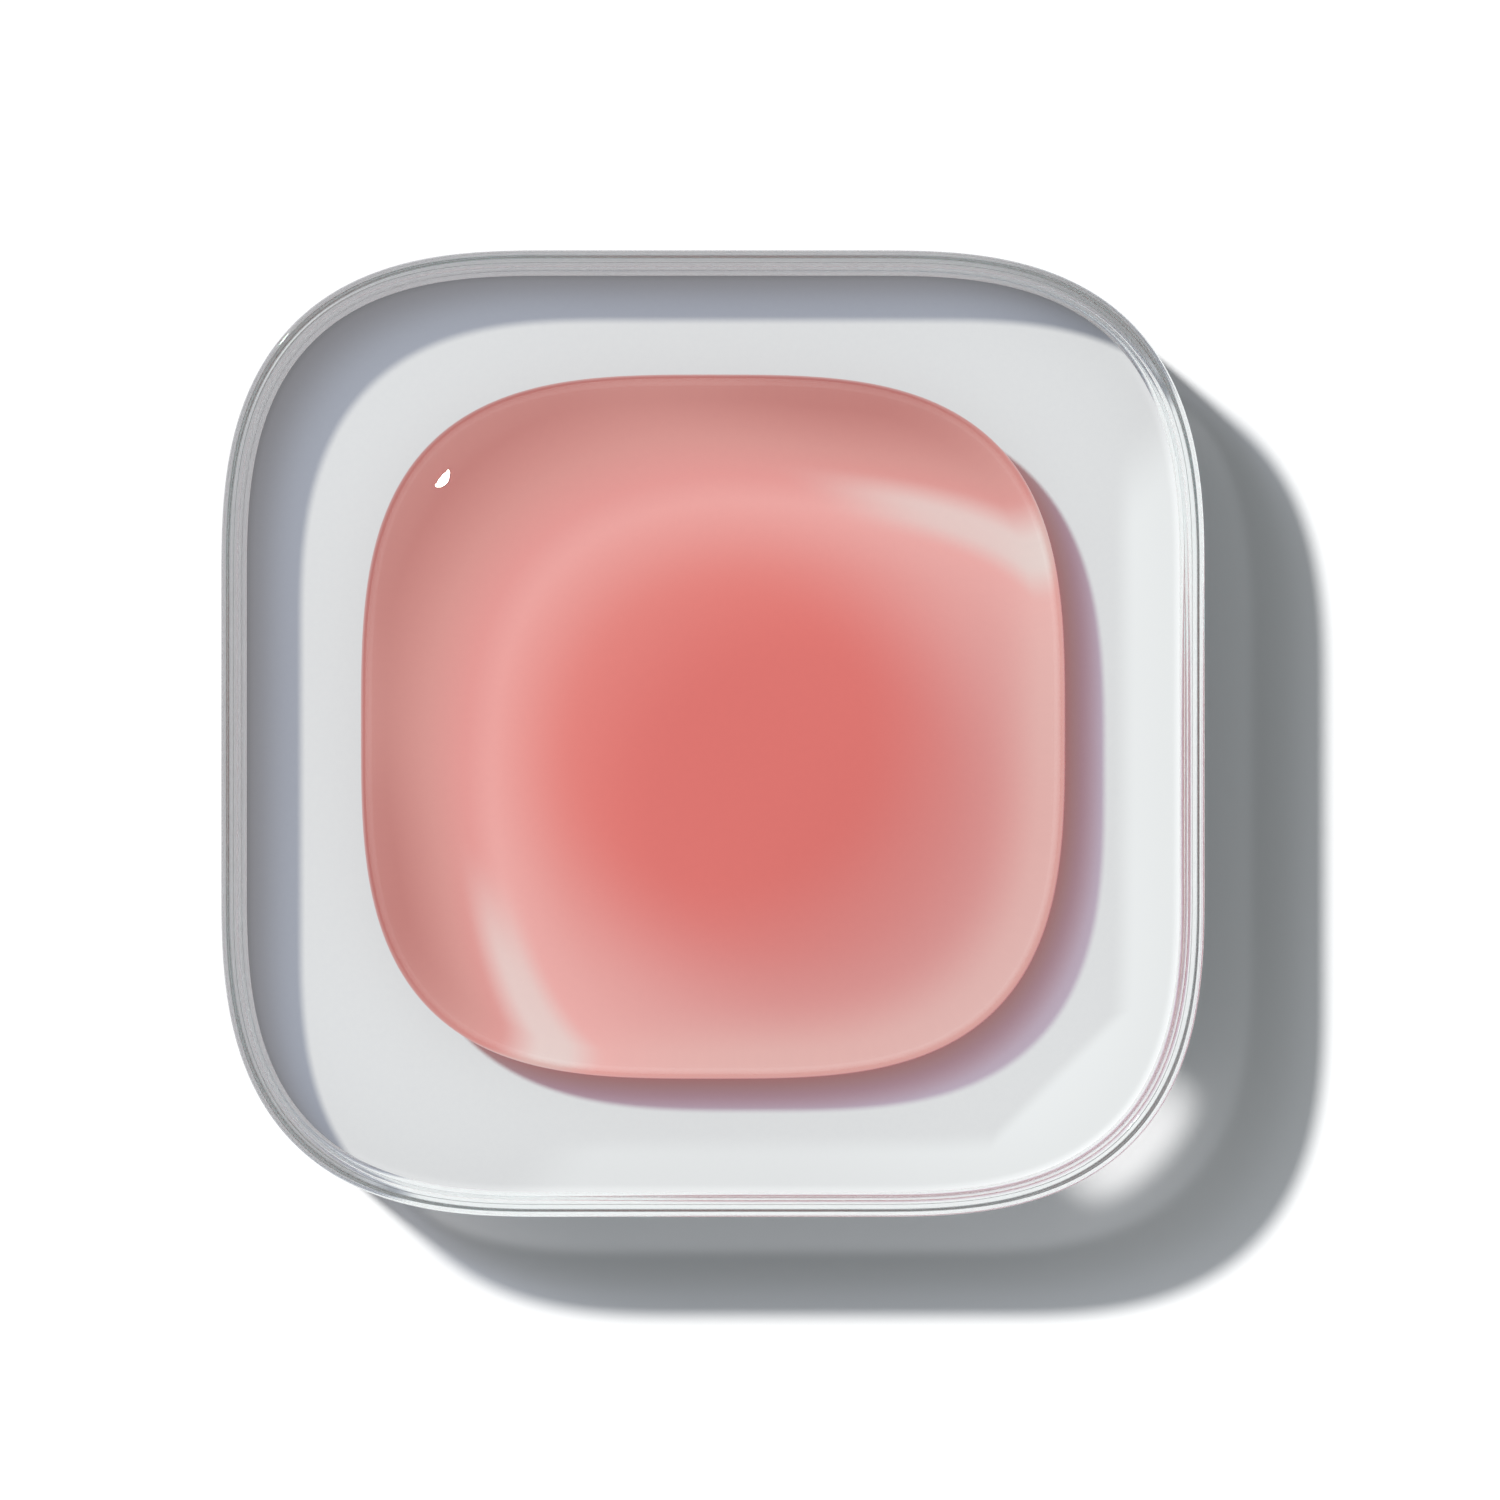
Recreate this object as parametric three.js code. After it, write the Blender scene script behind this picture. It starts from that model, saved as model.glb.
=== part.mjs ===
// A small clear dappen dish with a soft square outline, and the domed portion of gel that rests in it.
// Millimetres, +Z up, +X along the wider side. The origin is the centre of the face that the dish stands on.
import * as THREE from "three";
import { mergeVertices } from "three/addons/utils/BufferGeometryUtils.js";

// ---- Driving dimensions of the dish ----
const dishWidth = 64.0; // outside, along X
const dishDepth = 62.9; // outside, along Y
const dishHeight = 16.7; // from the table to the top of the lip
const floorThickness = 9.0; // solid base under the well
const wallThickness = 1.1;
const cornerReach = 21.5; // how far each corner curve runs along its two sides
const cornerPower = 2.78; // 2 is a round corner, and higher is squarer
const baseEdgeRadius = 0.5; // outside edge between the wall and the underside
const lipEdgeRadius = 0.3; // both edges of the flat lip
const wellFootRadius = 0.7; // inside corner between the floor and the wall

// ---- Driving dimensions of the gel dome ----
const sideMoat = 7.9; // free floor between the dome's girth and the wall, left and right
const backMoat = 6.9; // the same at the back
const frontMoat = 7.8; // and at the front
const restGap = 0.3; // clearance under the dome, so that the two solids share no face
const domeHeight = 9.5; // underside to crown
const girthHeight = 4.2; // height of the widest section above the underside
const footInset = 1.2; // how far the underside stands in from the girth
const shoulderRadius = 2.6; // edge that turns from the girth towards the crown
const shoulderTilt = THREE.MathUtils.degToRad(17); // slope where the shoulder meets the crown
const girthPower = 3.17; // squareness of the widest section
const crownPower = 2; // the sections end as a circle at the crown

// ---- Mesh fineness ----
const ringSteps = 96; // a multiple of 4, so that the mesh is alike in all four quarters
const edgeSteps = 3; // steps in each small rounded edge
const footSteps = 4; // steps in the dome's tucked-in foot
const shoulderSteps = 5;
const crownSteps = 7;

const quarterTurn = Math.PI / 2;
const joined = 1e-6; // ends closer than this count as one point

/** One corner of an outline: a quarter of a superellipse, from an angle of quarter times 90 degrees. */
class CornerCurve extends THREE.Curve {
  constructor(centre, reach, power, quarter) {
    super();
    this.centre = centre;
    this.reach = reach;
    this.power = power;
    this.start = quarter * quarterTurn;
  }

  getPoint(t, target = new THREE.Vector2()) {
    const angle = this.start + t * quarterTurn;
    const swell = (ratio) => Math.sign(ratio) * Math.abs(ratio) ** (2 / this.power);
    const offset = new THREE.Vector2(swell(Math.cos(angle)), swell(Math.sin(angle)));
    return target.copy(offset).multiply(this.reach).add(this.centre);
  }
}

/** A closed soft square, counterclockwise from the middle of its +X side. */
function softSquare(half, reach, power) {
  const outline = new THREE.CurvePath();
  const middleOfSide = (quarter) => {
    const angle = quarter * quarterTurn;
    return new THREE.Vector2(Math.cos(angle), Math.sin(angle)).multiply(half);
  };
  for (let quarter = 0; quarter < 4; quarter += 1) {
    const diagonal = (quarter + 0.5) * quarterTurn;
    const signs = new THREE.Vector2(Math.sign(Math.cos(diagonal)), Math.sign(Math.sin(diagonal)));
    const centre = half.clone().sub(reach).multiply(signs);
    const corner = new CornerCurve(centre, reach, power, quarter);
    const before = new THREE.LineCurve(middleOfSide(quarter), corner.getPoint(0));
    const after = new THREE.LineCurve(corner.getPoint(1), middleOfSide(quarter + 1));
    for (const piece of [before, corner, after]) {
      if (piece.getLength() > joined) {
        outline.add(piece);
      }
    }
  }
  return outline;
}

/** Points along an outline, moved straight in from it by the inset. */
function insetRing(outline, inset) {
  return Array.from({ length: ringSteps }, (_, step) => {
    const t = step / ringSteps;
    const tangent = outline.getTangent(t);
    const inward = new THREE.Vector2(-tangent.y, tangent.x);
    return outline.getPoint(t).addScaledVector(inward, inset);
  });
}

/**
 * A closed solid from level rings, listed from the underside's middle, out, up and back to the top's middle.
 * It is a lathe whose circles are each moved onto their ring, and its first and last rings are single points.
 */
function solidFromRings(rings) {
  const profile = rings.map((ring) => new THREE.Vector2(1, ring.height));
  const solid = new THREE.LatheGeometry(profile, ringSteps);
  const position = solid.getAttribute("position");
  for (let step = 0; step <= ringSteps; step += 1) {
    rings.forEach((ring, level) => {
      const point = ring.points[step % ringSteps];
      position.setXYZ(step * rings.length + level, point.x, point.y, ring.height);
    });
  }
  solid.deleteAttribute("uv");
  solid.deleteAttribute("normal");
  const closed = mergeVertices(solid);
  closed.computeVertexNormals();
  return closed;
}

/** A ring shrunk to one point on the middle line. */
function middlePoint(centre, height) {
  return { points: Array(ringSteps).fill(centre), height };
}

/** Points along a rounded edge. The angle is 0 towards the outline, and a quarter turn at the top. */
function roundedEdge(centre, radius, from, to, steps) {
  return Array.from({ length: steps + 1 }, (_, step) => {
    const angle = from + ((to - from) * step) / steps;
    return {
      inset: centre.inset - radius.across * Math.cos(angle),
      height: centre.height + radius.up * Math.sin(angle),
    };
  });
}

/** An edge that is a part of a circle. */
function evenRadius(radius) {
  return { across: radius, up: radius };
}

/** The one-piece dish: thick base, thin upright wall and flat lip with two small rounded edges. */
function buildDish() {
  const half = new THREE.Vector2(dishWidth / 2, dishDepth / 2);
  const reach = new THREE.Vector2(cornerReach, cornerReach);
  const outline = softSquare(half, reach, cornerPower);
  const middle = new THREE.Vector2(0, 0);
  const lipLevel = dishHeight - lipEdgeRadius;
  const baseEdge = roundedEdge(
    { inset: baseEdgeRadius, height: baseEdgeRadius },
    evenRadius(baseEdgeRadius), -quarterTurn, 0, edgeSteps,
  );
  const outerLipEdge = roundedEdge(
    { inset: lipEdgeRadius, height: lipLevel },
    evenRadius(lipEdgeRadius), 0, quarterTurn, edgeSteps,
  );
  const innerLipEdge = roundedEdge(
    { inset: wallThickness - lipEdgeRadius, height: lipLevel },
    evenRadius(lipEdgeRadius), quarterTurn, 2 * quarterTurn, edgeSteps,
  );
  const wellFoot = roundedEdge(
    { inset: wallThickness + wellFootRadius, height: floorThickness + wellFootRadius },
    evenRadius(wellFootRadius), 0, -quarterTurn, edgeSteps,
  );
  const section = [...baseEdge, ...outerLipEdge, ...innerLipEdge, ...wellFoot];
  return solidFromRings([
    middlePoint(middle, 0),
    ...section.map(({ inset, height }) => ({ points: insetRing(outline, inset), height })),
    middlePoint(middle, floorThickness),
  ]);
}

/** The gel dome: flat underside, tucked-in foot, rounded shoulder and a low crown. */
function buildDome() {
  const half = new THREE.Vector2(
    dishWidth / 2 - wallThickness - sideMoat,
    (dishDepth - backMoat - frontMoat) / 2 - wallThickness,
  );
  const centre = new THREE.Vector2(0, (frontMoat - backMoat) / 2);
  const underside = floorThickness + restGap;
  const girth = underside + girthHeight;
  const crown = underside + domeHeight;

  const foot = roundedEdge(
    { inset: footInset, height: girth },
    { across: footInset, up: girthHeight }, -quarterTurn, 0, footSteps,
  );
  const shoulder = roundedEdge(
    { inset: shoulderRadius, height: girth },
    evenRadius(shoulderRadius), 0, quarterTurn - shoulderTilt, shoulderSteps,
  );
  // The crown falls from its middle by a power of the distance, and leaves the shoulder at the same slope.
  const shoulderEnd = shoulder.at(-1);
  const crownRadius = half.x - shoulderEnd.inset;
  const crownRise = crown - shoulderEnd.height;
  const fallPower = (Math.tan(shoulderTilt) * crownRadius) / crownRise;
  const crownLevels = Array.from({ length: crownSteps - 1 }, (_, step) => {
    const share = 1 - (step + 1) / crownSteps;
    return {
      inset: half.x - crownRadius * share,
      height: crown - crownRise * share ** fallPower,
    };
  });

  const section = [...foot, ...shoulder.slice(1), ...crownLevels];
  return solidFromRings([
    middlePoint(centre, underside),
    ...section.map(({ inset, height }) => {
      const share = 1 - inset / half.x;
      const size = half.clone().multiplyScalar(share);
      const power = THREE.MathUtils.lerp(crownPower, girthPower, share);
      const points = insetRing(softSquare(size, size, power), 0);
      return { points: points.map((point) => point.add(centre)), height };
    }),
    middlePoint(centre, crown),
  ]);
}

const clearGlass = new THREE.MeshStandardMaterial({
  color: "#e6eaec",
  roughness: 0.03,
  metalness: 0,
  transparent: true,
  opacity: 0.35,
});
const pinkGel = new THREE.MeshStandardMaterial({
  color: "#dc7370",
  roughness: 0.08,
  metalness: 0,
  transparent: true,
  opacity: 0.85,
});

const clearDish = new THREE.Mesh(buildDish(), clearGlass);
clearDish.name = "clear_dish";

const gelDome = new THREE.Mesh(buildDome(), pinkGel);
gelDome.name = "gel_dome";

const dappenDish = new THREE.Group();
dappenDish.add(clearDish, gelDome);

export default dappenDish;
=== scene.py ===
"""A small clear dappen dish and the dome of pink gel that rests in it.

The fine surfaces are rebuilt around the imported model, each in the place of its own faceted node.
Run as a script, it makes every piece, the materials, the stage and the camera.
"""

import math

import bmesh
import bpy
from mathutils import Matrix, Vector


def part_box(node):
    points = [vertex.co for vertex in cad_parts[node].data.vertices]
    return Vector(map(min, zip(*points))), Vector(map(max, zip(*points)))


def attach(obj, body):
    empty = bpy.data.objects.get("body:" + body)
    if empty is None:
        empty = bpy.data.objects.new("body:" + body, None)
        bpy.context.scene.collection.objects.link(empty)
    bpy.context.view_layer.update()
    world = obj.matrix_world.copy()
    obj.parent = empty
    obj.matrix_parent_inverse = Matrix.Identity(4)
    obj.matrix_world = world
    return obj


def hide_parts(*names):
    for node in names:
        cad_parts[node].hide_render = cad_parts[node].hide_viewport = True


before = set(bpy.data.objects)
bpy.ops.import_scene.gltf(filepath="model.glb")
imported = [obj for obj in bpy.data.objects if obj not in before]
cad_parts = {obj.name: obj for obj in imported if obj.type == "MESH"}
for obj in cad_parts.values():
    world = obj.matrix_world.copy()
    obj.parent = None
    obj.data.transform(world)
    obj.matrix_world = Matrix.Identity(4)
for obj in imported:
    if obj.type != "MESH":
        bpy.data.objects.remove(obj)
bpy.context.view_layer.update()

bl_info = {
    "name": "Dappen Dish",
    "version": (1, 0, 0),
    "blender": (4, 5, 0),
    "location": "3D View > Sidebar > Dappen Dish",
    "description": "Builds a clear soft-square dappen dish with a dome of pink gel",
    "category": "Add Mesh",
}

MM = 0.001
TURN = 2 * math.pi
QUARTER = TURN / 4
DISH_LOW, DISH_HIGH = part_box("clear_dish")
DOME_LOW, DOME_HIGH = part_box("gel_dome")

# How finely the pieces are made.
DISH_STEPS = 768
DISH_EDGE_STEPS = 8
GEL_STEPS = 384
GEL_FOOT_STEPS = 16
GEL_SHOULDER_STEPS = 20
GEL_CROWN_STEPS = 40

TABLE_HALF = 1500 * MM
TABLE_GAP = 0.05 * MM  # keeps the underside of the dish and the table apart
CAMERA_PLACE = (2.41 * MM, -1.07 * MM)  # beside the middle of the dish

# The share of the light that gets through a wall of the dish, at its foot and at its lip, as sRGB hex.
# A wall throws light aside. NEAR is the side by the light, FAR the side away from it, and FRONT the -Y
# half of FAR.
NEAR_LOW = "AAA6A8"
NEAR_HIGH = "CED1DA"
FAR_LOW = "404244"
FAR_HIGH = "898B8E"
FRONT_LOW = "67696C"
FRONT_HIGH = "9B9DA2"
CORNER_LOW = "E4E4E4"
CLEAR = "FFFFFF"

# Settings that many nodes share.
SMOOTH = {"interpolation_type": "SMOOTHSTEP"}
TIMES = {"operation": "MULTIPLY"}
ALONG = {"operation": "DOT_PRODUCT"}
BLEND = {"data_type": "RGBA"}
FILTER = {"data_type": "RGBA", "blend_type": "MULTIPLY"}


# ---- Sizes and colours that a user would change ----


class DishSizes(bpy.types.PropertyGroup):
    """The clear dish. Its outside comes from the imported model."""

    floor_thickness: bpy.props.FloatProperty(
        name="Floor thickness", description="Solid glass under the well",
        default=9.0 * MM, min=0, unit="LENGTH",
    )
    wall: bpy.props.FloatProperty(
        name="Wall", description="Thickness of the upright wall",
        default=1.1 * MM, min=0, unit="LENGTH",
    )
    corner_reach: bpy.props.FloatProperty(
        name="Corner reach", description="How far each corner curve runs along its two sides",
        default=21.5 * MM, min=0, unit="LENGTH",
    )
    corner_power: bpy.props.FloatProperty(
        name="Corner power", description="2 is a round corner, and higher is squarer",
        default=2.78, min=1,
    )
    base_edge: bpy.props.FloatProperty(
        name="Base edge", description="Radius between the wall and the underside",
        default=0.5 * MM, min=0, unit="LENGTH",
    )
    lip_edge: bpy.props.FloatProperty(
        name="Lip edge", description="Radius of both edges of the flat lip",
        default=0.3 * MM, min=0, unit="LENGTH",
    )
    well_foot: bpy.props.FloatProperty(
        name="Well foot", description="Radius between the floor of the well and the wall",
        default=0.7 * MM, min=0, unit="LENGTH",
    )
    glass_tint: bpy.props.StringProperty(
        name="Glass tint", description="Colour of light after it crosses the dish, as sRGB hex",
        default="F4F8F8",
    )
    etch_dark: bpy.props.StringProperty(
        name="Etch, dark grain", description="Darker tone of the etched floor, as sRGB hex",
        default="D1D2D3",
    )
    etch_pale: bpy.props.StringProperty(
        name="Etch, pale grain", description="Paler tone of the etched floor, as sRGB hex",
        default="D5D6D6",
    )
    # Painted light: a paler tone of the floor by the far walls, where they throw light back on it.
    etch_painted_light: bpy.props.StringProperty(
        name="Etch, lit band", description="Tone of the etched floor by the far walls, as sRGB hex",
        default="E1E3E3",
    )


class GelSizes(bpy.types.PropertyGroup):
    """The gel dome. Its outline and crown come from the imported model."""

    rest_gap: bpy.props.FloatProperty(
        name="Rest gap", description="Height of the gel over the floor, below 0 where it wets the floor",
        default=-0.02 * MM, unit="LENGTH",
    )
    girth: bpy.props.FloatProperty(
        name="Girth", description="Height of the widest section above the floor of the well",
        default=4.5 * MM, min=0, unit="LENGTH",
    )
    foot_inset: bpy.props.FloatProperty(
        name="Foot inset", description="How far the underside stands in from the girth",
        default=1.2 * MM, min=0, unit="LENGTH",
    )
    shoulder: bpy.props.FloatProperty(
        name="Shoulder", description="Radius of the edge between the girth and the crown",
        default=2.6 * MM, min=0, unit="LENGTH",
    )
    shoulder_tilt: bpy.props.FloatProperty(
        name="Shoulder tilt", description="Slope where the shoulder meets the crown",
        default=math.radians(18.5), subtype="ANGLE",
    )
    girth_power: bpy.props.FloatProperty(
        name="Girth power", description="Squareness of the widest section",
        default=3.17, min=1,
    )
    colour: bpy.props.StringProperty(
        name="Colour", description="Colour of the gel at full depth, as sRGB hex",
        default="DB6F6B",
    )
    core_tint: bpy.props.StringProperty(
        name="Core tint", description="Extra colour of the deep middle of the gel, as sRGB hex",
        default="FFBCB5",
    )
    dye_strength: bpy.props.FloatProperty(
        name="Dye strength", description="How fast the colour deepens with depth, per metre",
        default=62.0, min=0,
    )


class StageSizes(bpy.types.PropertyGroup):
    """The table, the light and the camera."""

    lens: bpy.props.FloatProperty(
        name="Lens", description="Focal length on a 36 mm sensor",
        default=350, min=1,
    )
    frame_width: bpy.props.FloatProperty(
        name="Frame width", description="Width of the picture at the height of the lip",
        default=97.6 * MM, min=0, unit="LENGTH",
    )
    light_zenith: bpy.props.FloatProperty(
        name="Light zenith", description="Angle of the light from straight above",
        default=math.radians(34), subtype="ANGLE",
    )
    light_heading: bpy.props.FloatProperty(
        name="Light heading", description="Where the light travels to, turned from +X",
        default=math.radians(-40), subtype="ANGLE",
    )
    light_size: bpy.props.FloatProperty(
        name="Light size", description="Apparent width of the light",
        default=math.radians(3.5), subtype="ANGLE",
    )
    light_strength: bpy.props.FloatProperty(
        name="Light strength", description="Strength of the key light",
        default=3.45, min=0,
    )
    sky_strength: bpy.props.FloatProperty(
        name="Sky strength", description="Strength of the even light from all round",
        default=0.34, min=0,
    )
    sky_colour: bpy.props.StringProperty(
        name="Sky colour", description="Colour of the even light from all round, as sRGB hex",
        default="F6FCFF",
    )
    table_colour: bpy.props.StringProperty(
        name="Table colour", description="Colour of the table, as sRGB hex",
        default="F3F3F3",
    )


# ---- Outlines and sections ----


def soft_square_point(angle, half, reach, power):
    """The point of a soft square at an angle from its middle, and its outward normal there.

    The outline has straight sides, and a superelliptic corner that starts one reach before their crossing.
    """
    across, along = abs(math.cos(angle)), abs(math.sin(angle))
    straight = (half[0] - reach[0], half[1] - reach[1])

    def corner_place(radius):
        return (
            max((radius * across - straight[0]) / reach[0], 0),
            max((radius * along - straight[1]) / reach[1], 0),
        )

    low, high = 0, half[0] + half[1]
    for _ in range(48):
        middle = (low + high) / 2
        place = corner_place(middle)
        if place[0] ** power + place[1] ** power < 1:
            low = middle
        else:
            high = middle
    place = corner_place(high)
    normal = Vector((
        math.copysign(place[0] ** (power - 1) / reach[0], math.cos(angle)),
        math.copysign(place[1] ** (power - 1) / reach[1], math.sin(angle)),
    ))
    return Vector((high * math.cos(angle), high * math.sin(angle))), normal.normalized()


def spun_section(points, steps):
    """A bmesh spun round Z from a section's (radius, height) points, which start and end on the axis."""
    bm = bmesh.new()
    section = [bm.verts.new((radius, 0, height)) for radius, height in points]
    edges = [bm.edges.new(pair) for pair in zip(section, section[1:])]
    bmesh.ops.spin(
        bm, geom=section + edges, axis=(0, 0, 1), cent=(0, 0, 0),
        angle=TURN, steps=steps, use_merge=True,
    )
    bmesh.ops.remove_doubles(bm, verts=bm.verts, dist=1e-7)
    bmesh.ops.recalc_face_normals(bm, faces=bm.faces)
    return bm


def ring_edges(bm, radius, height):
    """The edges of the level ring at this radius and height."""
    def on_ring(vert):
        return abs(vert.co.xy.length - radius) < 1e-6 and abs(vert.co.z - height) < 1e-6
    return [edge for edge in bm.edges if all(on_ring(vert) for vert in edge.verts)]


def finish_piece(bm, name, material, body, node):
    """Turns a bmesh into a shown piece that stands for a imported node."""
    mesh = bpy.data.meshes.new(name)
    for face in bm.faces:
        face.smooth = True
    bm.to_mesh(mesh)
    bm.free()
    piece = bpy.data.objects.new(name, mesh)
    bpy.context.scene.collection.objects.link(piece)
    mesh.materials.append(material)
    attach(piece, body)
    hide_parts(node)
    return piece


# ---- Materials ----


def linear(hex_colour):
    """An sRGB hex colour as linear red, green, blue and a full alpha."""
    shares = [int(hex_colour[i:i + 2], 16) / 255 for i in (0, 2, 4)]
    return [s / 12.92 if s <= 0.04045 else ((s + 0.055) / 1.055) ** 2.4 for s in shares] + [1]


def in_use(sockets, key):
    """The socket with this name, or in this place, among those that a node has in use."""
    used = [socket for socket in sockets if socket.enabled]
    return used[key] if isinstance(key, int) else next(socket for socket in used if socket.name == key)


def add_node(tree, kind, settings=None, inputs=None):
    """Adds a node.

    settings are the node's own properties, or the stops of a ramp as places and sRGB hex colours.
    inputs are plain values, sRGB hex colours, sockets to link from, and nodes, which stand for the first
    output that they use.
    """
    node = tree.nodes.new(kind)
    for name, value in (settings or {}).items():
        if name != "stops":
            setattr(node, name, value)
            continue
        stops = node.color_ramp.elements
        while len(stops) < len(value):
            stops.new(1.0)
        for stop, (place, hex_colour) in zip(stops, value):
            stop.position = place
            stop.color = linear(hex_colour)
    for key, value in (inputs or {}).items():
        socket = in_use(node.inputs, key)
        if isinstance(value, bpy.types.Node):
            value = in_use(value.outputs, 0)
        if isinstance(value, bpy.types.NodeSocket):
            tree.links.new(value, socket)
        else:
            socket.default_value = linear(value) if isinstance(value, str) else value
    return node


def new_material(name):
    """An empty node material and its tree."""
    material = bpy.data.materials.new(name)
    material.use_nodes = True
    material.node_tree.nodes.clear()
    return material, material.node_tree


def level_vector(heading):
    """The unit vector that points along a heading in the level plane."""
    return Vector((math.cos(heading), math.sin(heading), 0))


def light_travel(stage):
    """The direction in which the key light shines."""
    flat = level_vector(stage.light_heading) * math.sin(stage.light_zenith)
    return flat - Vector((0, 0, math.cos(stage.light_zenith)))


def outline_share(tree, place, middle, half, power):
    """How far out a point lies in a soft square, from 0 at its middle to 1 on its outline."""
    moved = add_node(tree, "ShaderNodeVectorMath", {"operation": "SUBTRACT"}, {0: place, 1: middle})
    share = add_node(tree, "ShaderNodeVectorMath", {"operation": "DIVIDE"}, {0: moved, 1: (half, half, 1)})
    size = add_node(tree, "ShaderNodeVectorMath", {"operation": "ABSOLUTE"}, {0: share})
    axes = add_node(tree, "ShaderNodeSeparateXYZ", None, {0: size})
    across = add_node(tree, "ShaderNodeMath", {"operation": "POWER"}, {0: axes.outputs["X"], 1: power})
    along = add_node(tree, "ShaderNodeMath", {"operation": "POWER"}, {0: axes.outputs["Y"], 1: power})
    both = add_node(tree, "ShaderNodeMath", {"operation": "ADD"}, {0: across, 1: along})
    return add_node(tree, "ShaderNodeMath", {"operation": "POWER"}, {0: both, 1: 1 / power})


def light_landing(tree, place, floor, travel):
    """Where light that crosses a point lands on a level floor."""
    axes = add_node(tree, "ShaderNodeSeparateXYZ", None, {0: place})
    height = add_node(tree, "ShaderNodeMath", {"operation": "SUBTRACT"}, {0: axes.outputs["Z"], 1: floor})
    slope = Vector((travel.x, travel.y, 0)) / -travel.z
    drift = add_node(tree, "ShaderNodeVectorMath", {"operation": "SCALE"}, {0: slope, 1: height})
    return add_node(tree, "ShaderNodeVectorMath", {"operation": "ADD"}, {0: place, 1: drift})


def clear_glass(dish, stage):
    """Clear pressed glass, fire polished: a faint cool tint in its depth, and a hard bright gloss.

    Light rays that look for the lamp can't bend, so they cross as through a filter. Its strength stands for
    what the bending does: level faces pass the light, and the walls throw most of it aside, least by
    the light.
    """
    far_start, far_end = -12 * MM, 14 * MM
    right_start, right_end = -14 * MM, 10 * MM
    corner_start, corner_end = 36.6 * MM, 38.2 * MM
    corner_top, corner_foot = 6 * MM, 2 * MM

    material, tree = new_material("pressed_clear_glass")
    glass = add_node(tree, "ShaderNodeBsdfPrincipled", None, {
        "Base Color": dish.glass_tint, "Roughness": 0.0, "IOR": 1.5, "Transmission Weight": 1.0,
    })
    place = add_node(tree, "ShaderNodeTexCoord").outputs["Object"]
    height = add_node(tree, "ShaderNodeSeparateXYZ", None, {0: place}).outputs["Z"]

    # Each side of the wall, from its foot to its lip.
    along = add_node(tree, "ShaderNodeVectorMath", ALONG, {0: place, 1: level_vector(stage.light_heading)})
    far_side = add_node(tree, "ShaderNodeMapRange", SMOOTH, {0: along, 1: far_start, 2: far_end})
    sideways = add_node(tree, "ShaderNodeVectorMath", ALONG, {
        0: place, 1: level_vector(stage.light_heading + QUARTER),
    })
    to_right = add_node(tree, "ShaderNodeMapRange", SMOOTH, {0: sideways, 1: right_start, 2: right_end})
    far_low = add_node(tree, "ShaderNodeMix", BLEND, {0: to_right, 1: FRONT_LOW, 2: FAR_LOW})
    far_high = add_node(tree, "ShaderNodeMix", BLEND, {0: to_right, 1: FRONT_HIGH, 2: FAR_HIGH})
    low = add_node(tree, "ShaderNodeMix", BLEND, {0: far_side, 1: NEAR_LOW, 2: far_low})
    high = add_node(tree, "ShaderNodeMix", BLEND, {0: far_side, 1: NEAR_HIGH, 2: far_high})
    rise = add_node(tree, "ShaderNodeMapRange", SMOOTH, {0: height, 1: dish.floor_thickness, 2: DISH_HIGH.z})
    wall = add_node(tree, "ShaderNodeMix", BLEND, {0: rise, 1: low, 2: high})

    # The corner of the base that is farthest from the light gathers it in a bright patch.
    diagonal = add_node(tree, "ShaderNodeVectorMath", ALONG, {0: place, 1: level_vector(-TURN / 8)})
    corner = add_node(tree, "ShaderNodeMapRange", SMOOTH, {0: diagonal, 1: corner_start, 2: corner_end})
    foot = add_node(tree, "ShaderNodeMapRange", SMOOTH, {0: height, 1: corner_top, 2: corner_foot})
    bright_corner = add_node(tree, "ShaderNodeMath", TIMES, {0: corner, 1: foot})
    wall = add_node(tree, "ShaderNodeMix", BLEND, {0: bright_corner, 1: wall, 2: CORNER_LOW})

    # Level faces pass all of it, except on the lip, which lies over a wall.
    faces = add_node(tree, "ShaderNodeNewGeometry").outputs["True Normal"]
    upright = add_node(tree, "ShaderNodeSeparateXYZ", None, {0: faces}).outputs["Z"]
    level = add_node(tree, "ShaderNodeMath", {"operation": "ABSOLUTE"}, {0: upright})
    under_lip = add_node(tree, "ShaderNodeMapRange", SMOOTH, {
        0: height, 1: DISH_HIGH.z - 2 * dish.lip_edge, 2: DISH_HIGH.z - dish.lip_edge, 3: 1.0, 4: 0.0,
    })
    passes = add_node(tree, "ShaderNodeMath", TIMES, {0: level, 1: under_lip})
    share = add_node(tree, "ShaderNodeMix", BLEND, {0: passes, 1: wall, 2: CLEAR})

    path = add_node(tree, "ShaderNodeLightPath")
    lets_light = add_node(tree, "ShaderNodeBsdfTransparent", None, {"Color": share})
    soft = add_node(tree, "ShaderNodeMixShader", None, {
        0: path.outputs["Is Diffuse Ray"], 1: glass, 2: lets_light,
    })
    lit = add_node(tree, "ShaderNodeMixShader", None, {
        0: path.outputs["Is Shadow Ray"], 1: soft, 2: lets_light,
    })
    add_node(tree, "ShaderNodeOutputMaterial", None, {"Surface": lit})
    return material


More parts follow.
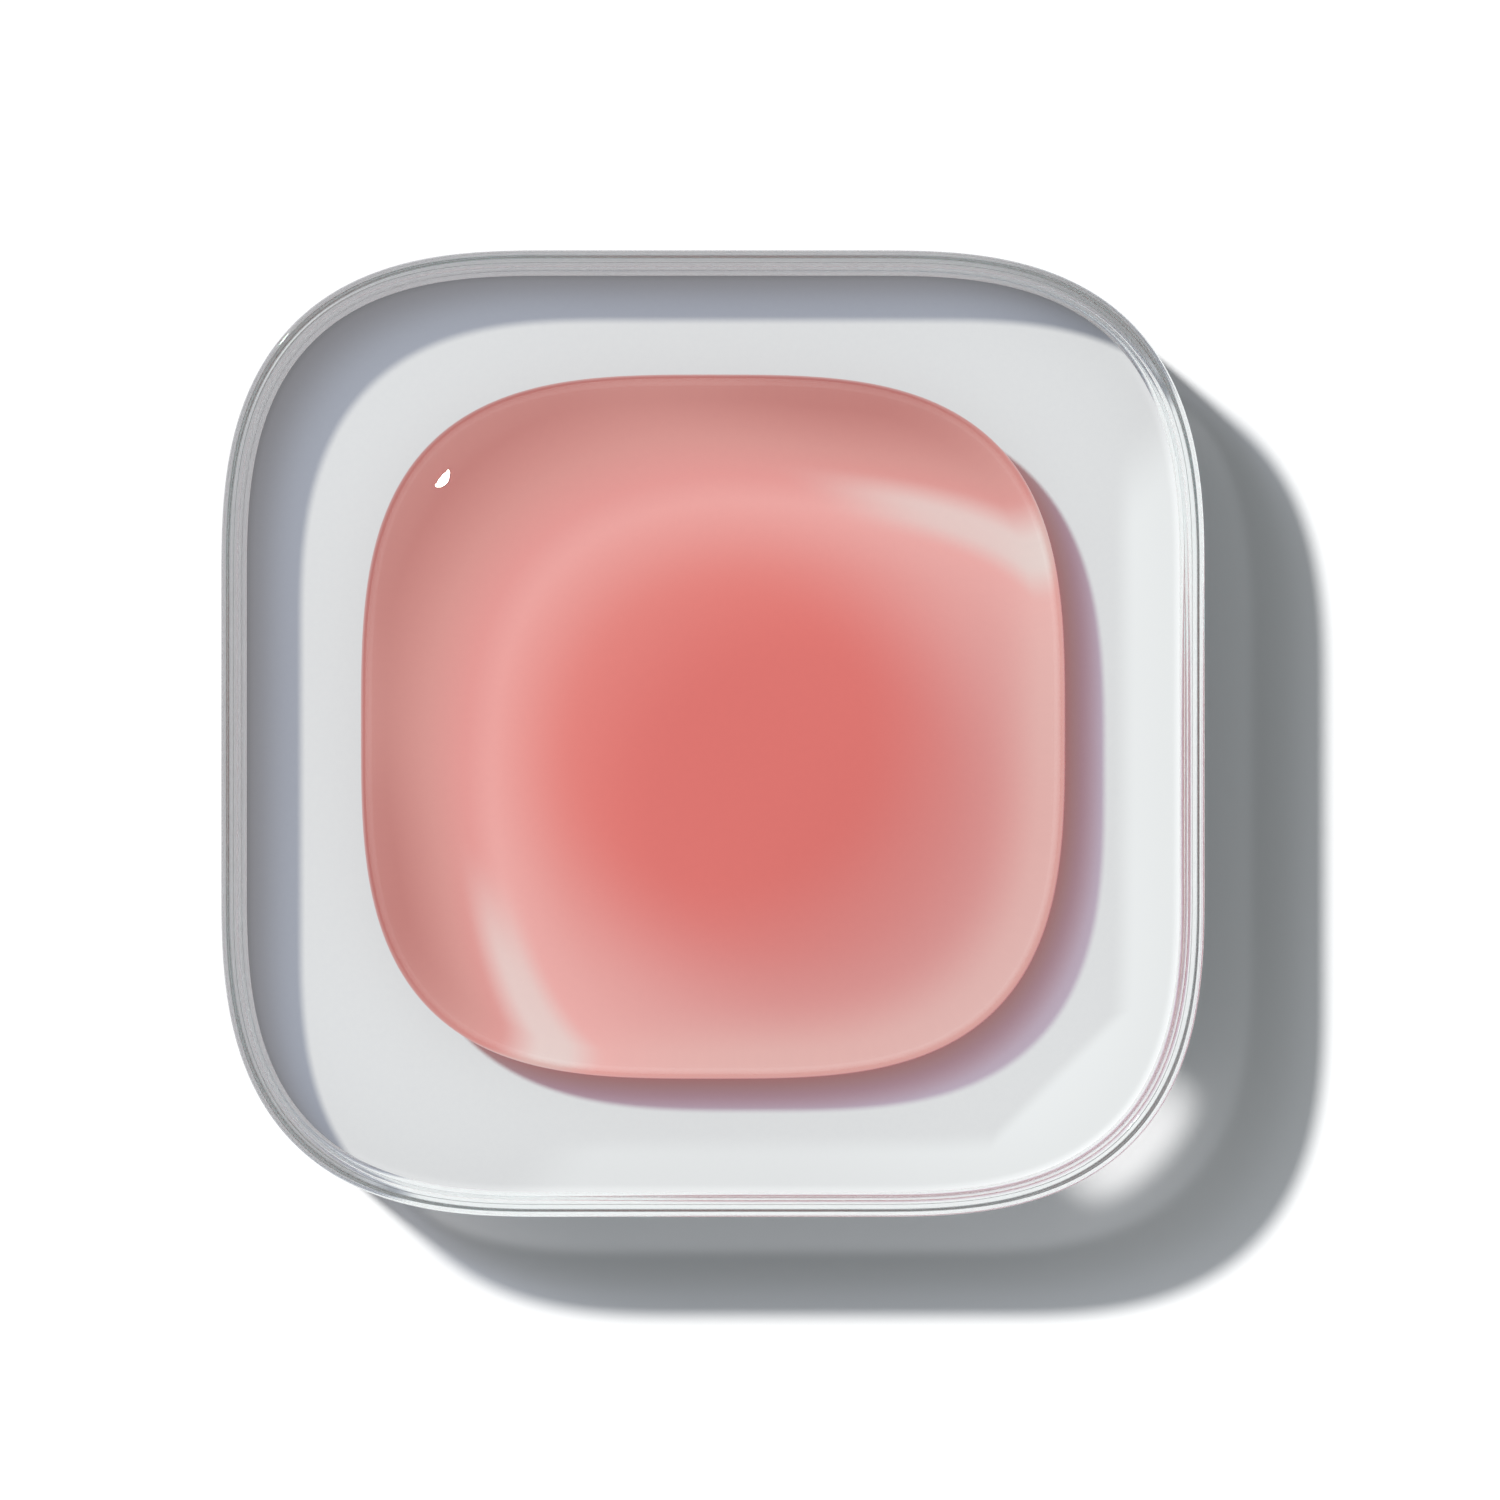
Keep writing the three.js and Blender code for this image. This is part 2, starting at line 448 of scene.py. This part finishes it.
def etched_glass(dish, stage):
    """Acid-etched glass: a fine white satin that hides what is under it and has hardly any gloss.

    A paler band along the two far walls is painted light: it stands for the light that they throw back on
    the floor.
    """
    grain_width = 0.35 * MM  # A real etch is too fine to show, so its grain is drawn this coarse.
    well_half, well_power = DISH_HIGH.x - dish.wall, 7.0
    band_start, band_end = 0.845, 0.9  # shares of the way out to the wall
    thrown_start, thrown_end = 8 * MM, 12.5 * MM
    front_start, front_end, front_share = -20 * MM, -6 * MM, 0.55
    corner_start, corner_end = 31.3 * MM, 32.3 * MM

    material, tree = new_material("etched_white_glass")
    place = add_node(tree, "ShaderNodeTexCoord").outputs["Object"]
    grain = add_node(tree, "ShaderNodeTexNoise", None, {
        "Vector": place, "Scale": 1 / grain_width, "Detail": 3.0, "Roughness": 0.6,
    })
    satin = add_node(tree, "ShaderNodeMix", BLEND, {0: grain, 1: dish.etch_dark, 2: dish.etch_pale})

    # Painted light: the floor is paler in a band by the two far walls and in the far corner, where they
    # throw light back.
    outward = outline_share(tree, place, (0, 0, 0), well_half, well_power)
    by_wall = add_node(tree, "ShaderNodeMapRange", SMOOTH, {0: outward, 1: band_start, 2: band_end})
    diagonal = add_node(tree, "ShaderNodeVectorMath", ALONG, {0: place, 1: level_vector(-TURN / 8)})
    in_corner = add_node(tree, "ShaderNodeMapRange", SMOOTH, {0: diagonal, 1: corner_start, 2: corner_end})
    reach = add_node(tree, "ShaderNodeMath", {"operation": "MAXIMUM"}, {0: by_wall, 1: in_corner})
    along = add_node(tree, "ShaderNodeVectorMath", ALONG, {0: place, 1: level_vector(stage.light_heading)})
    thrown = add_node(tree, "ShaderNodeMapRange", SMOOTH, {0: along, 1: thrown_start, 2: thrown_end})
    sideways = add_node(tree, "ShaderNodeVectorMath", ALONG, {
        0: place, 1: level_vector(stage.light_heading + QUARTER),
    })
    less_in_front = add_node(tree, "ShaderNodeMapRange", SMOOTH, {
        0: sideways, 1: front_start, 2: front_end, 3: front_share, 4: 1.0,
    })
    strong = add_node(tree, "ShaderNodeMath", TIMES, {0: thrown, 1: less_in_front})
    painted_light_band = add_node(tree, "ShaderNodeMath", TIMES, {0: reach, 1: strong})
    colour = add_node(tree, "ShaderNodeMix", BLEND, {0: painted_light_band, 1: satin, 2: dish.etch_painted_light})
    surface = add_node(tree, "ShaderNodeBsdfPrincipled", None, {
        "Base Color": colour, "Roughness": 0.6, "Specular IOR Level": 0.0,
    })

    path = add_node(tree, "ShaderNodeLightPath")
    lets_light = add_node(tree, "ShaderNodeBsdfTransparent", None, {"Color": CLEAR})
    lit = add_node(tree, "ShaderNodeMixShader", None, {
        0: path.outputs["Is Shadow Ray"], 1: surface, 2: lets_light,
    })
    add_node(tree, "ShaderNodeOutputMaterial", None, {"Surface": lit})
    return material


def gel_surface(tree, place, gel, core):
    """The wet gloss of the gel, deeper in colour over its core, with a painted shade along its rim: a darker
    pink line that stands for the dark edge which the steep side shows by bending the light.
    """
    middle = (DOME_HIGH + DOME_LOW) / 2
    half = (DOME_HIGH.x - DOME_LOW.x) / 2
    edge = outline_share(tree, place, middle, half, gel.girth_power)
    # Painted shade: a darker pink line along the outline stands for the dark edge that the steep side shows
    # by bending the light.
    painted_rim_shade = add_node(tree, "ShaderNodeValToRGB", {"stops": [
        (0.974, CLEAR), (0.988, "E8BCB7"), (1.0, "D98C85"),
    ]}, {0: edge})
    tint = add_node(tree, "ShaderNodeMix", BLEND, {0: core, 1: CLEAR, 2: gel.core_tint})
    colour = add_node(tree, "ShaderNodeMix", FILTER, {0: 1.0, 1: tint, 2: painted_rim_shade})
    return add_node(tree, "ShaderNodeBsdfPrincipled", None, {
        "Base Color": colour, "Roughness": 0.0, "IOR": 1.4, "Transmission Weight": 1.0,
    })


def gathered_light(tree, place, gel, dish, stage, core):
    """The share of the light that the dome lets through to each place on the floor.

    Its pattern stands for what the dome gathers: a pale ridge with two bright ends round a deeper middle, a
    dim band under the edge by the light, a pale edge away from it, and a tinted shadow beyond the gel.
    """
    ramp_end = 1.5  # The ramps run over outline shares from 0 to this.
    lens_shift, lens_turn = 8.5 * MM, math.radians(-3)
    lens_half, lens_power = 19.6 * MM, 3.0
    stretch_start, stretch_end, stretch = 11 * MM, 24 * MM, 1.08
    flare_start, flare_end = 15 * MM, 20 * MM
    far_start, far_end = 4 * MM, 17 * MM
    edge_start, edge_end = 0.78, 0.98
    far_gain = (1.05, 1.26, 1.24)  # of red, green and blue
    foot_power = 3.1
    underside_rise = 0.4 * MM

    middle = (DOME_HIGH + DOME_LOW) / 2
    half = (DOME_HIGH.x - DOME_LOW.x) / 2
    landing = light_landing(tree, place, dish.floor_thickness, light_travel(stage))
    aside = add_node(tree, "ShaderNodeVectorMath", ALONG, {
        0: landing, 1: level_vector(stage.light_heading + QUARTER),
    })
    sideways = add_node(tree, "ShaderNodeMath", {"operation": "ABSOLUTE"}, {0: aside})

    # The ridge, and the bright flare at each of its two ends.
    lens = middle + level_vector(stage.light_heading + lens_turn) * lens_shift
    from_lens = outline_share(tree, landing, lens, lens_half, lens_power)
    stretched = add_node(tree, "ShaderNodeMapRange", SMOOTH, {
        0: sideways, 1: stretch_start, 2: stretch_end, 3: 1.0, 4: stretch,
    })
    ridge = add_node(tree, "ShaderNodeMath", TIMES, {0: from_lens, 1: stretched})
    ridge_share = add_node(tree, "ShaderNodeMath", {"operation": "DIVIDE"}, {0: ridge, 1: ramp_end})
    gathered = add_node(tree, "ShaderNodeValToRGB", {"stops": [
        (0.50 / ramp_end, "D3D1CE"), (0.80 / ramp_end, "D9CEC9"), (1.03 / ramp_end, "DFD5D0"),
        (1.12 / ramp_end, "D5BCB7"), (1.25 / ramp_end, "C5B0A9"), (1.42 / ramp_end, "AC8A84"),
    ]}, {0: ridge_share})
    on_ridge = add_node(tree, "ShaderNodeValToRGB", {"stops": [
        (0.96 / ramp_end, "000000"), (1.03 / ramp_end, "FFFFFF"),
        (1.10 / ramp_end, "FFFFFF"), (1.18 / ramp_end, "000000"),
    ]}, {0: ridge_share})
    at_ends = add_node(tree, "ShaderNodeMapRange", SMOOTH, {0: sideways, 1: flare_start, 2: flare_end})
    flare = add_node(tree, "ShaderNodeMath", TIMES, {0: on_ridge, 1: at_ends})
    gathered = add_node(tree, "ShaderNodeMix", BLEND, {0: flare, 1: gathered, 2: "D7F7F2"})

    # The deep core, the side away from the light, and the pale edge there.
    deep = add_node(tree, "ShaderNodeMix", FILTER, {0: 1.0, 1: gathered, 2: "FFDCDA"})
    gathered = add_node(tree, "ShaderNodeMix", BLEND, {0: core, 1: gathered, 2: deep})
    along = add_node(tree, "ShaderNodeVectorMath", ALONG, {0: landing, 1: level_vector(stage.light_heading)})
    far_side = add_node(tree, "ShaderNodeMapRange", SMOOTH, {0: along, 1: far_start, 2: far_end})
    far = add_node(tree, "ShaderNodeMix", FILTER, {0: 1.0, 1: gathered, 2: "F6F6F6"})
    gathered = add_node(tree, "ShaderNodeMix", BLEND, {0: far_side, 1: gathered, 2: far})
    foot = outline_share(tree, landing, middle, half - gel.foot_inset, foot_power)
    by_edge = add_node(tree, "ShaderNodeMapRange", SMOOTH, {0: foot, 1: edge_start, 2: edge_end})
    far_edge = add_node(tree, "ShaderNodeMath", TIMES, {0: by_edge, 1: far_side})
    pale = add_node(tree, "ShaderNodeVectorMath", TIMES, {0: gathered, 1: far_gain})
    gathered = add_node(tree, "ShaderNodeMix", BLEND, {0: far_edge, 1: gathered, 2: pale})

    # The tinted shadow beyond the foot of the gel.
    foot_share = add_node(tree, "ShaderNodeMath", {"operation": "DIVIDE"}, {0: foot, 1: ramp_end})
    beyond = add_node(tree, "ShaderNodeValToRGB", {"stops": [
        (1.04 / ramp_end, "956E6C"), (1.08 / ramp_end, "8F7879"),
        (1.11 / ramp_end, "907C84"), (1.17 / ramp_end, "9A929B"),
    ]}, {0: foot_share})
    outside = add_node(tree, "ShaderNodeMapRange", SMOOTH, {0: foot, 1: 0.985, 2: 1.0})
    passed = add_node(tree, "ShaderNodeMix", BLEND, {0: outside, 1: gathered, 2: beyond})

    # The underside holds back red, so that the light that goes on down to the table is nearly neutral.
    height = add_node(tree, "ShaderNodeSeparateXYZ", None, {0: place}).outputs["Z"]
    over_foot = add_node(tree, "ShaderNodeMapRange", SMOOTH, {
        0: height, 1: dish.floor_thickness, 2: dish.floor_thickness + underside_rise,
    })
    below = add_node(tree, "ShaderNodeMix", FILTER, {0: 1.0, 1: passed, 2: "C3EFF7"})
    return add_node(tree, "ShaderNodeMix", BLEND, {0: over_foot, 1: below, 2: passed})


def pink_gel(gel, dish, stage):
    """Clear water-based gel with pink dye: wet gloss, and a colour that deepens with the depth of gel.

    Light rays that look for the lamp can't bend, so they cross as through a filter, which is above 1 where
    the dome gathers the light of the lamp. The even light from all round isn't gathered, and isn't raised.
    """
    core_shift = Vector((0.6, -0.8, 0)) * MM
    core_start, core_end = 0.38, 0.80
    gather = 2.46

    material, tree = new_material("dyed_clear_gel")
    place = add_node(tree, "ShaderNodeTexCoord").outputs["Object"]
    middle = (DOME_HIGH + DOME_LOW) / 2 + core_shift
    from_core = outline_share(tree, place, middle, (DOME_HIGH.x - DOME_LOW.x) / 2, 2.0)
    core = add_node(tree, "ShaderNodeMapRange", SMOOTH, {
        0: from_core, 1: core_start, 2: core_end, 3: 1.0, 4: 0.0,
    })
    surface = gel_surface(tree, place, gel, core)
    passed = gathered_light(tree, place, gel, dish, stage, core)
    scaled = add_node(tree, "ShaderNodeVectorMath", {"operation": "SCALE"}, {0: passed, 1: gather})
    lets_lamp = add_node(tree, "ShaderNodeBsdfTransparent", None, {"Color": scaled})
    lets_sky = add_node(tree, "ShaderNodeBsdfTransparent", None, {"Color": passed})
    path = add_node(tree, "ShaderNodeLightPath")
    soft = add_node(tree, "ShaderNodeMixShader", None, {
        0: path.outputs["Is Diffuse Ray"], 1: surface, 2: lets_sky,
    })
    lit = add_node(tree, "ShaderNodeMixShader", None, {
        0: path.outputs["Is Shadow Ray"], 1: soft, 2: lets_lamp,
    })
    dye = add_node(tree, "ShaderNodeVolumeAbsorption", None, {
        "Color": gel.colour, "Density": gel.dye_strength,
    })
    add_node(tree, "ShaderNodeOutputMaterial", None, {"Surface": lit, "Volume": dye})
    return material


def white_table(stage):
    """Matte white laminate: an even pale surface with no gloss."""
    material, tree = new_material("matte_white_laminate")
    surface = add_node(tree, "ShaderNodeBsdfPrincipled", None, {
        "Base Color": stage.table_colour, "Roughness": 0.9, "Specular IOR Level": 0.0,
    })
    add_node(tree, "ShaderNodeOutputMaterial", None, {"Surface": surface})
    return material


# ---- Operators, one for each piece and one for the stage ----


class OBJECT_OT_clear_dish(bpy.types.Operator):
    """Make the one-piece clear dish"""

    bl_idname = "object.dappen_clear_dish"
    bl_label = "Clear Dish"

    def execute(self, context):
        sizes = context.scene.dappen_dish
        half = ((DISH_HIGH.x - DISH_LOW.x) / 2, (DISH_HIGH.y - DISH_LOW.y) / 2)
        reach = (sizes.corner_reach, sizes.corner_reach)
        outer, inner = half[0], half[0] - sizes.wall
        low, high, floor = DISH_LOW.z, DISH_HIGH.z, sizes.floor_thickness
        hold = 0.1 * MM  # A ring this far past each rounded edge keeps the flat face beside it flat.
        base_hold, lip_hold, well_hold = (
            edge + hold for edge in (sizes.base_edge, sizes.lip_edge, sizes.well_foot)
        )
        bm = spun_section([
            (0, low), (outer - base_hold, low), (outer, low), (outer, low + base_hold),
            (outer, high - lip_hold), (outer, high), (outer - lip_hold, high),
            (inner + lip_hold, high), (inner, high), (inner, high - lip_hold),
            (inner, floor + well_hold), (inner, floor), (inner - well_hold, floor), (0, floor),
        ], DISH_STEPS)
        rounded = [
            (outer, low, sizes.base_edge), (outer, high, sizes.lip_edge),
            (inner, high, sizes.lip_edge), (inner, floor, sizes.well_foot),
        ]
        for radius, height, rounding in rounded:
            bmesh.ops.bevel(
                bm, geom=ring_edges(bm, radius, height), offset=rounding, offset_type="OFFSET",
                affect="EDGES", segments=DISH_EDGE_STEPS, profile=0.5, material=-1,
            )
        outline = [
            soft_square_point(TURN * i / DISH_STEPS, half, reach, sizes.corner_power)
            for i in range(DISH_STEPS)
        ]
        for vert in bm.verts:
            radius = vert.co.xy.length
            if radius > 1e-6:
                angle = math.atan2(vert.co.y, vert.co.x)
                point, normal = outline[round(angle / TURN * DISH_STEPS) % DISH_STEPS]
                vert.co.xy = point - normal * (outer - radius)
        glass = clear_glass(sizes, context.scene.dappen_stage)
        etch = etched_glass(sizes, context.scene.dappen_stage)
        for face in bm.faces:
            on_floor = face.normal.z > 0.5 and face.calc_center_median().z < floor + hold
            face.material_index = int(on_floor)
        piece = finish_piece(bm, "dish_glass", glass, "dish", "clear_dish")
        piece.data.materials.append(etch)
        return {"FINISHED"}


class OBJECT_OT_gel_dome(bpy.types.Operator):
    """Make the dome of gel that rests in the dish"""

    bl_idname = "object.dappen_gel_dome"
    bl_label = "Gel Dome"

    def execute(self, context):
        sizes = context.scene.dappen_gel
        dish = context.scene.dappen_dish
        half = (DOME_HIGH.x - DOME_LOW.x) / 2
        middle = Vector((DOME_HIGH.x + DOME_LOW.x, DOME_HIGH.y + DOME_LOW.y)) / 2
        underside = dish.floor_thickness + sizes.rest_gap
        girth = dish.floor_thickness + sizes.girth

        foot = [
            (half - sizes.foot_inset * (1 - math.cos(a)), girth - (girth - underside) * math.sin(a))
            for a in (QUARTER * (1 - i / GEL_FOOT_STEPS) for i in range(GEL_FOOT_STEPS))
        ]
        shoulder_turn = QUARTER - sizes.shoulder_tilt
        shoulder = [
            (half - sizes.shoulder * (1 - math.cos(a)), girth + sizes.shoulder * math.sin(a))
            for a in (shoulder_turn * i / GEL_SHOULDER_STEPS for i in range(GEL_SHOULDER_STEPS + 1))
        ]
        crown_radius, crown_foot = shoulder[-1]
        rise = DOME_HIGH.z - crown_foot
        fall_power = math.tan(sizes.shoulder_tilt) * crown_radius / rise
        crown = [
            (crown_radius * share, DOME_HIGH.z - rise * share ** fall_power)
            for share in (1 - i / GEL_CROWN_STEPS for i in range(1, GEL_CROWN_STEPS))
        ]
        hold = (foot[0][0] - 0.2 * MM, underside)  # keeps the underside flat up to its edge
        bm = spun_section([(0, underside), hold, *foot, *shoulder, *crown, (0, DOME_HIGH.z)], GEL_STEPS)
        for vert in bm.verts:
            radius = vert.co.xy.length
            share = radius / half
            if share > 1e-6:
                angle = math.atan2(vert.co.y, vert.co.x)
                power = 2 + (sizes.girth_power - 2) * share
                across, along = math.cos(angle), math.sin(angle)
                stretch = (abs(across) ** power + abs(along) ** power) ** (-1 / power)
                vert.co.xy = (radius * stretch * across, radius * stretch * along)
        bmesh.ops.translate(bm, verts=bm.verts, vec=(middle.x, middle.y, 0))
        material = pink_gel(sizes, dish, context.scene.dappen_stage)
        finish_piece(bm, "gel_portion", material, "gel", "gel_dome")
        return {"FINISHED"}


class OBJECT_OT_stage(bpy.types.Operator):
    """Make the table, the light and the camera"""

    bl_idname = "object.dappen_stage"
    bl_label = "Stage"

    def execute(self, context):
        scene = context.scene
        sizes = scene.dappen_stage

        bm = bmesh.new()
        bmesh.ops.create_grid(bm, x_segments=1, y_segments=1, size=TABLE_HALF)
        bmesh.ops.translate(bm, verts=bm.verts, vec=(0, 0, DISH_LOW.z - TABLE_GAP))
        mesh = bpy.data.meshes.new("table")
        bm.to_mesh(mesh)
        bm.free()
        mesh.materials.append(white_table(sizes))
        table = bpy.data.objects.new("table", mesh)
        scene.collection.objects.link(table)

        travel = light_travel(sizes)
        key = bpy.data.lights.new("key_light", "SUN")
        key.energy = sizes.light_strength
        key.angle = sizes.light_size
        lamp = bpy.data.objects.new("key_light", key)
        lamp.rotation_euler = travel.to_track_quat("-Z", "Y").to_euler()
        scene.collection.objects.link(lamp)

        world = bpy.data.worlds.new("studio")
        world.use_nodes = True
        background = world.node_tree.nodes["Background"]
        background.inputs["Color"].default_value = linear(sizes.sky_colour)
        background.inputs["Strength"].default_value = sizes.sky_strength
        scene.world = world
        scene.view_settings.view_transform = "Standard"

        # Rays cross many faces of glass and gel. The materials draw the light that is bent elsewhere.
        scene.cycles.max_bounces = 24
        scene.cycles.transmission_bounces = 24
        scene.cycles.glossy_bounces = 12
        scene.cycles.caustics_refractive = False
        scene.cycles.caustics_reflective = False

        lens = bpy.data.cameras.new("camera")
        lens.sensor_width = 36
        lens.lens = sizes.lens
        camera = bpy.data.objects.new("camera", lens)
        distance = sizes.frame_width * sizes.lens / lens.sensor_width
        camera.location = (*CAMERA_PLACE, DISH_HIGH.z + distance)
        scene.collection.objects.link(camera)
        scene.camera = camera
        return {"FINISHED"}


class VIEW3D_PT_dappen_dish(bpy.types.Panel):
    """Lists the steps that build the dish"""

    bl_label = "Dappen Dish"
    bl_space_type = "VIEW_3D"
    bl_region_type = "UI"
    bl_category = "Dappen Dish"

    def draw(self, context):
        for operator in OPERATORS:
            self.layout.operator(operator.bl_idname)


OPERATORS = (OBJECT_OT_stage, OBJECT_OT_clear_dish, OBJECT_OT_gel_dome)
GROUPS = {"dappen_dish": DishSizes, "dappen_gel": GelSizes, "dappen_stage": StageSizes}


def register():
    for kind in (*GROUPS.values(), *OPERATORS, VIEW3D_PT_dappen_dish):
        bpy.utils.register_class(kind)
    for name, kind in GROUPS.items():
        setattr(bpy.types.Scene, name, bpy.props.PointerProperty(type=kind))


def unregister():
    for name in GROUPS:
        delattr(bpy.types.Scene, name)
    for kind in reversed((*GROUPS.values(), *OPERATORS, VIEW3D_PT_dappen_dish)):
        bpy.utils.unregister_class(kind)


def main():
    register()
    bpy.ops.object.dappen_stage()
    bpy.ops.object.dappen_clear_dish()
    bpy.ops.object.dappen_gel_dome()


if __name__ == "__main__":
    main()
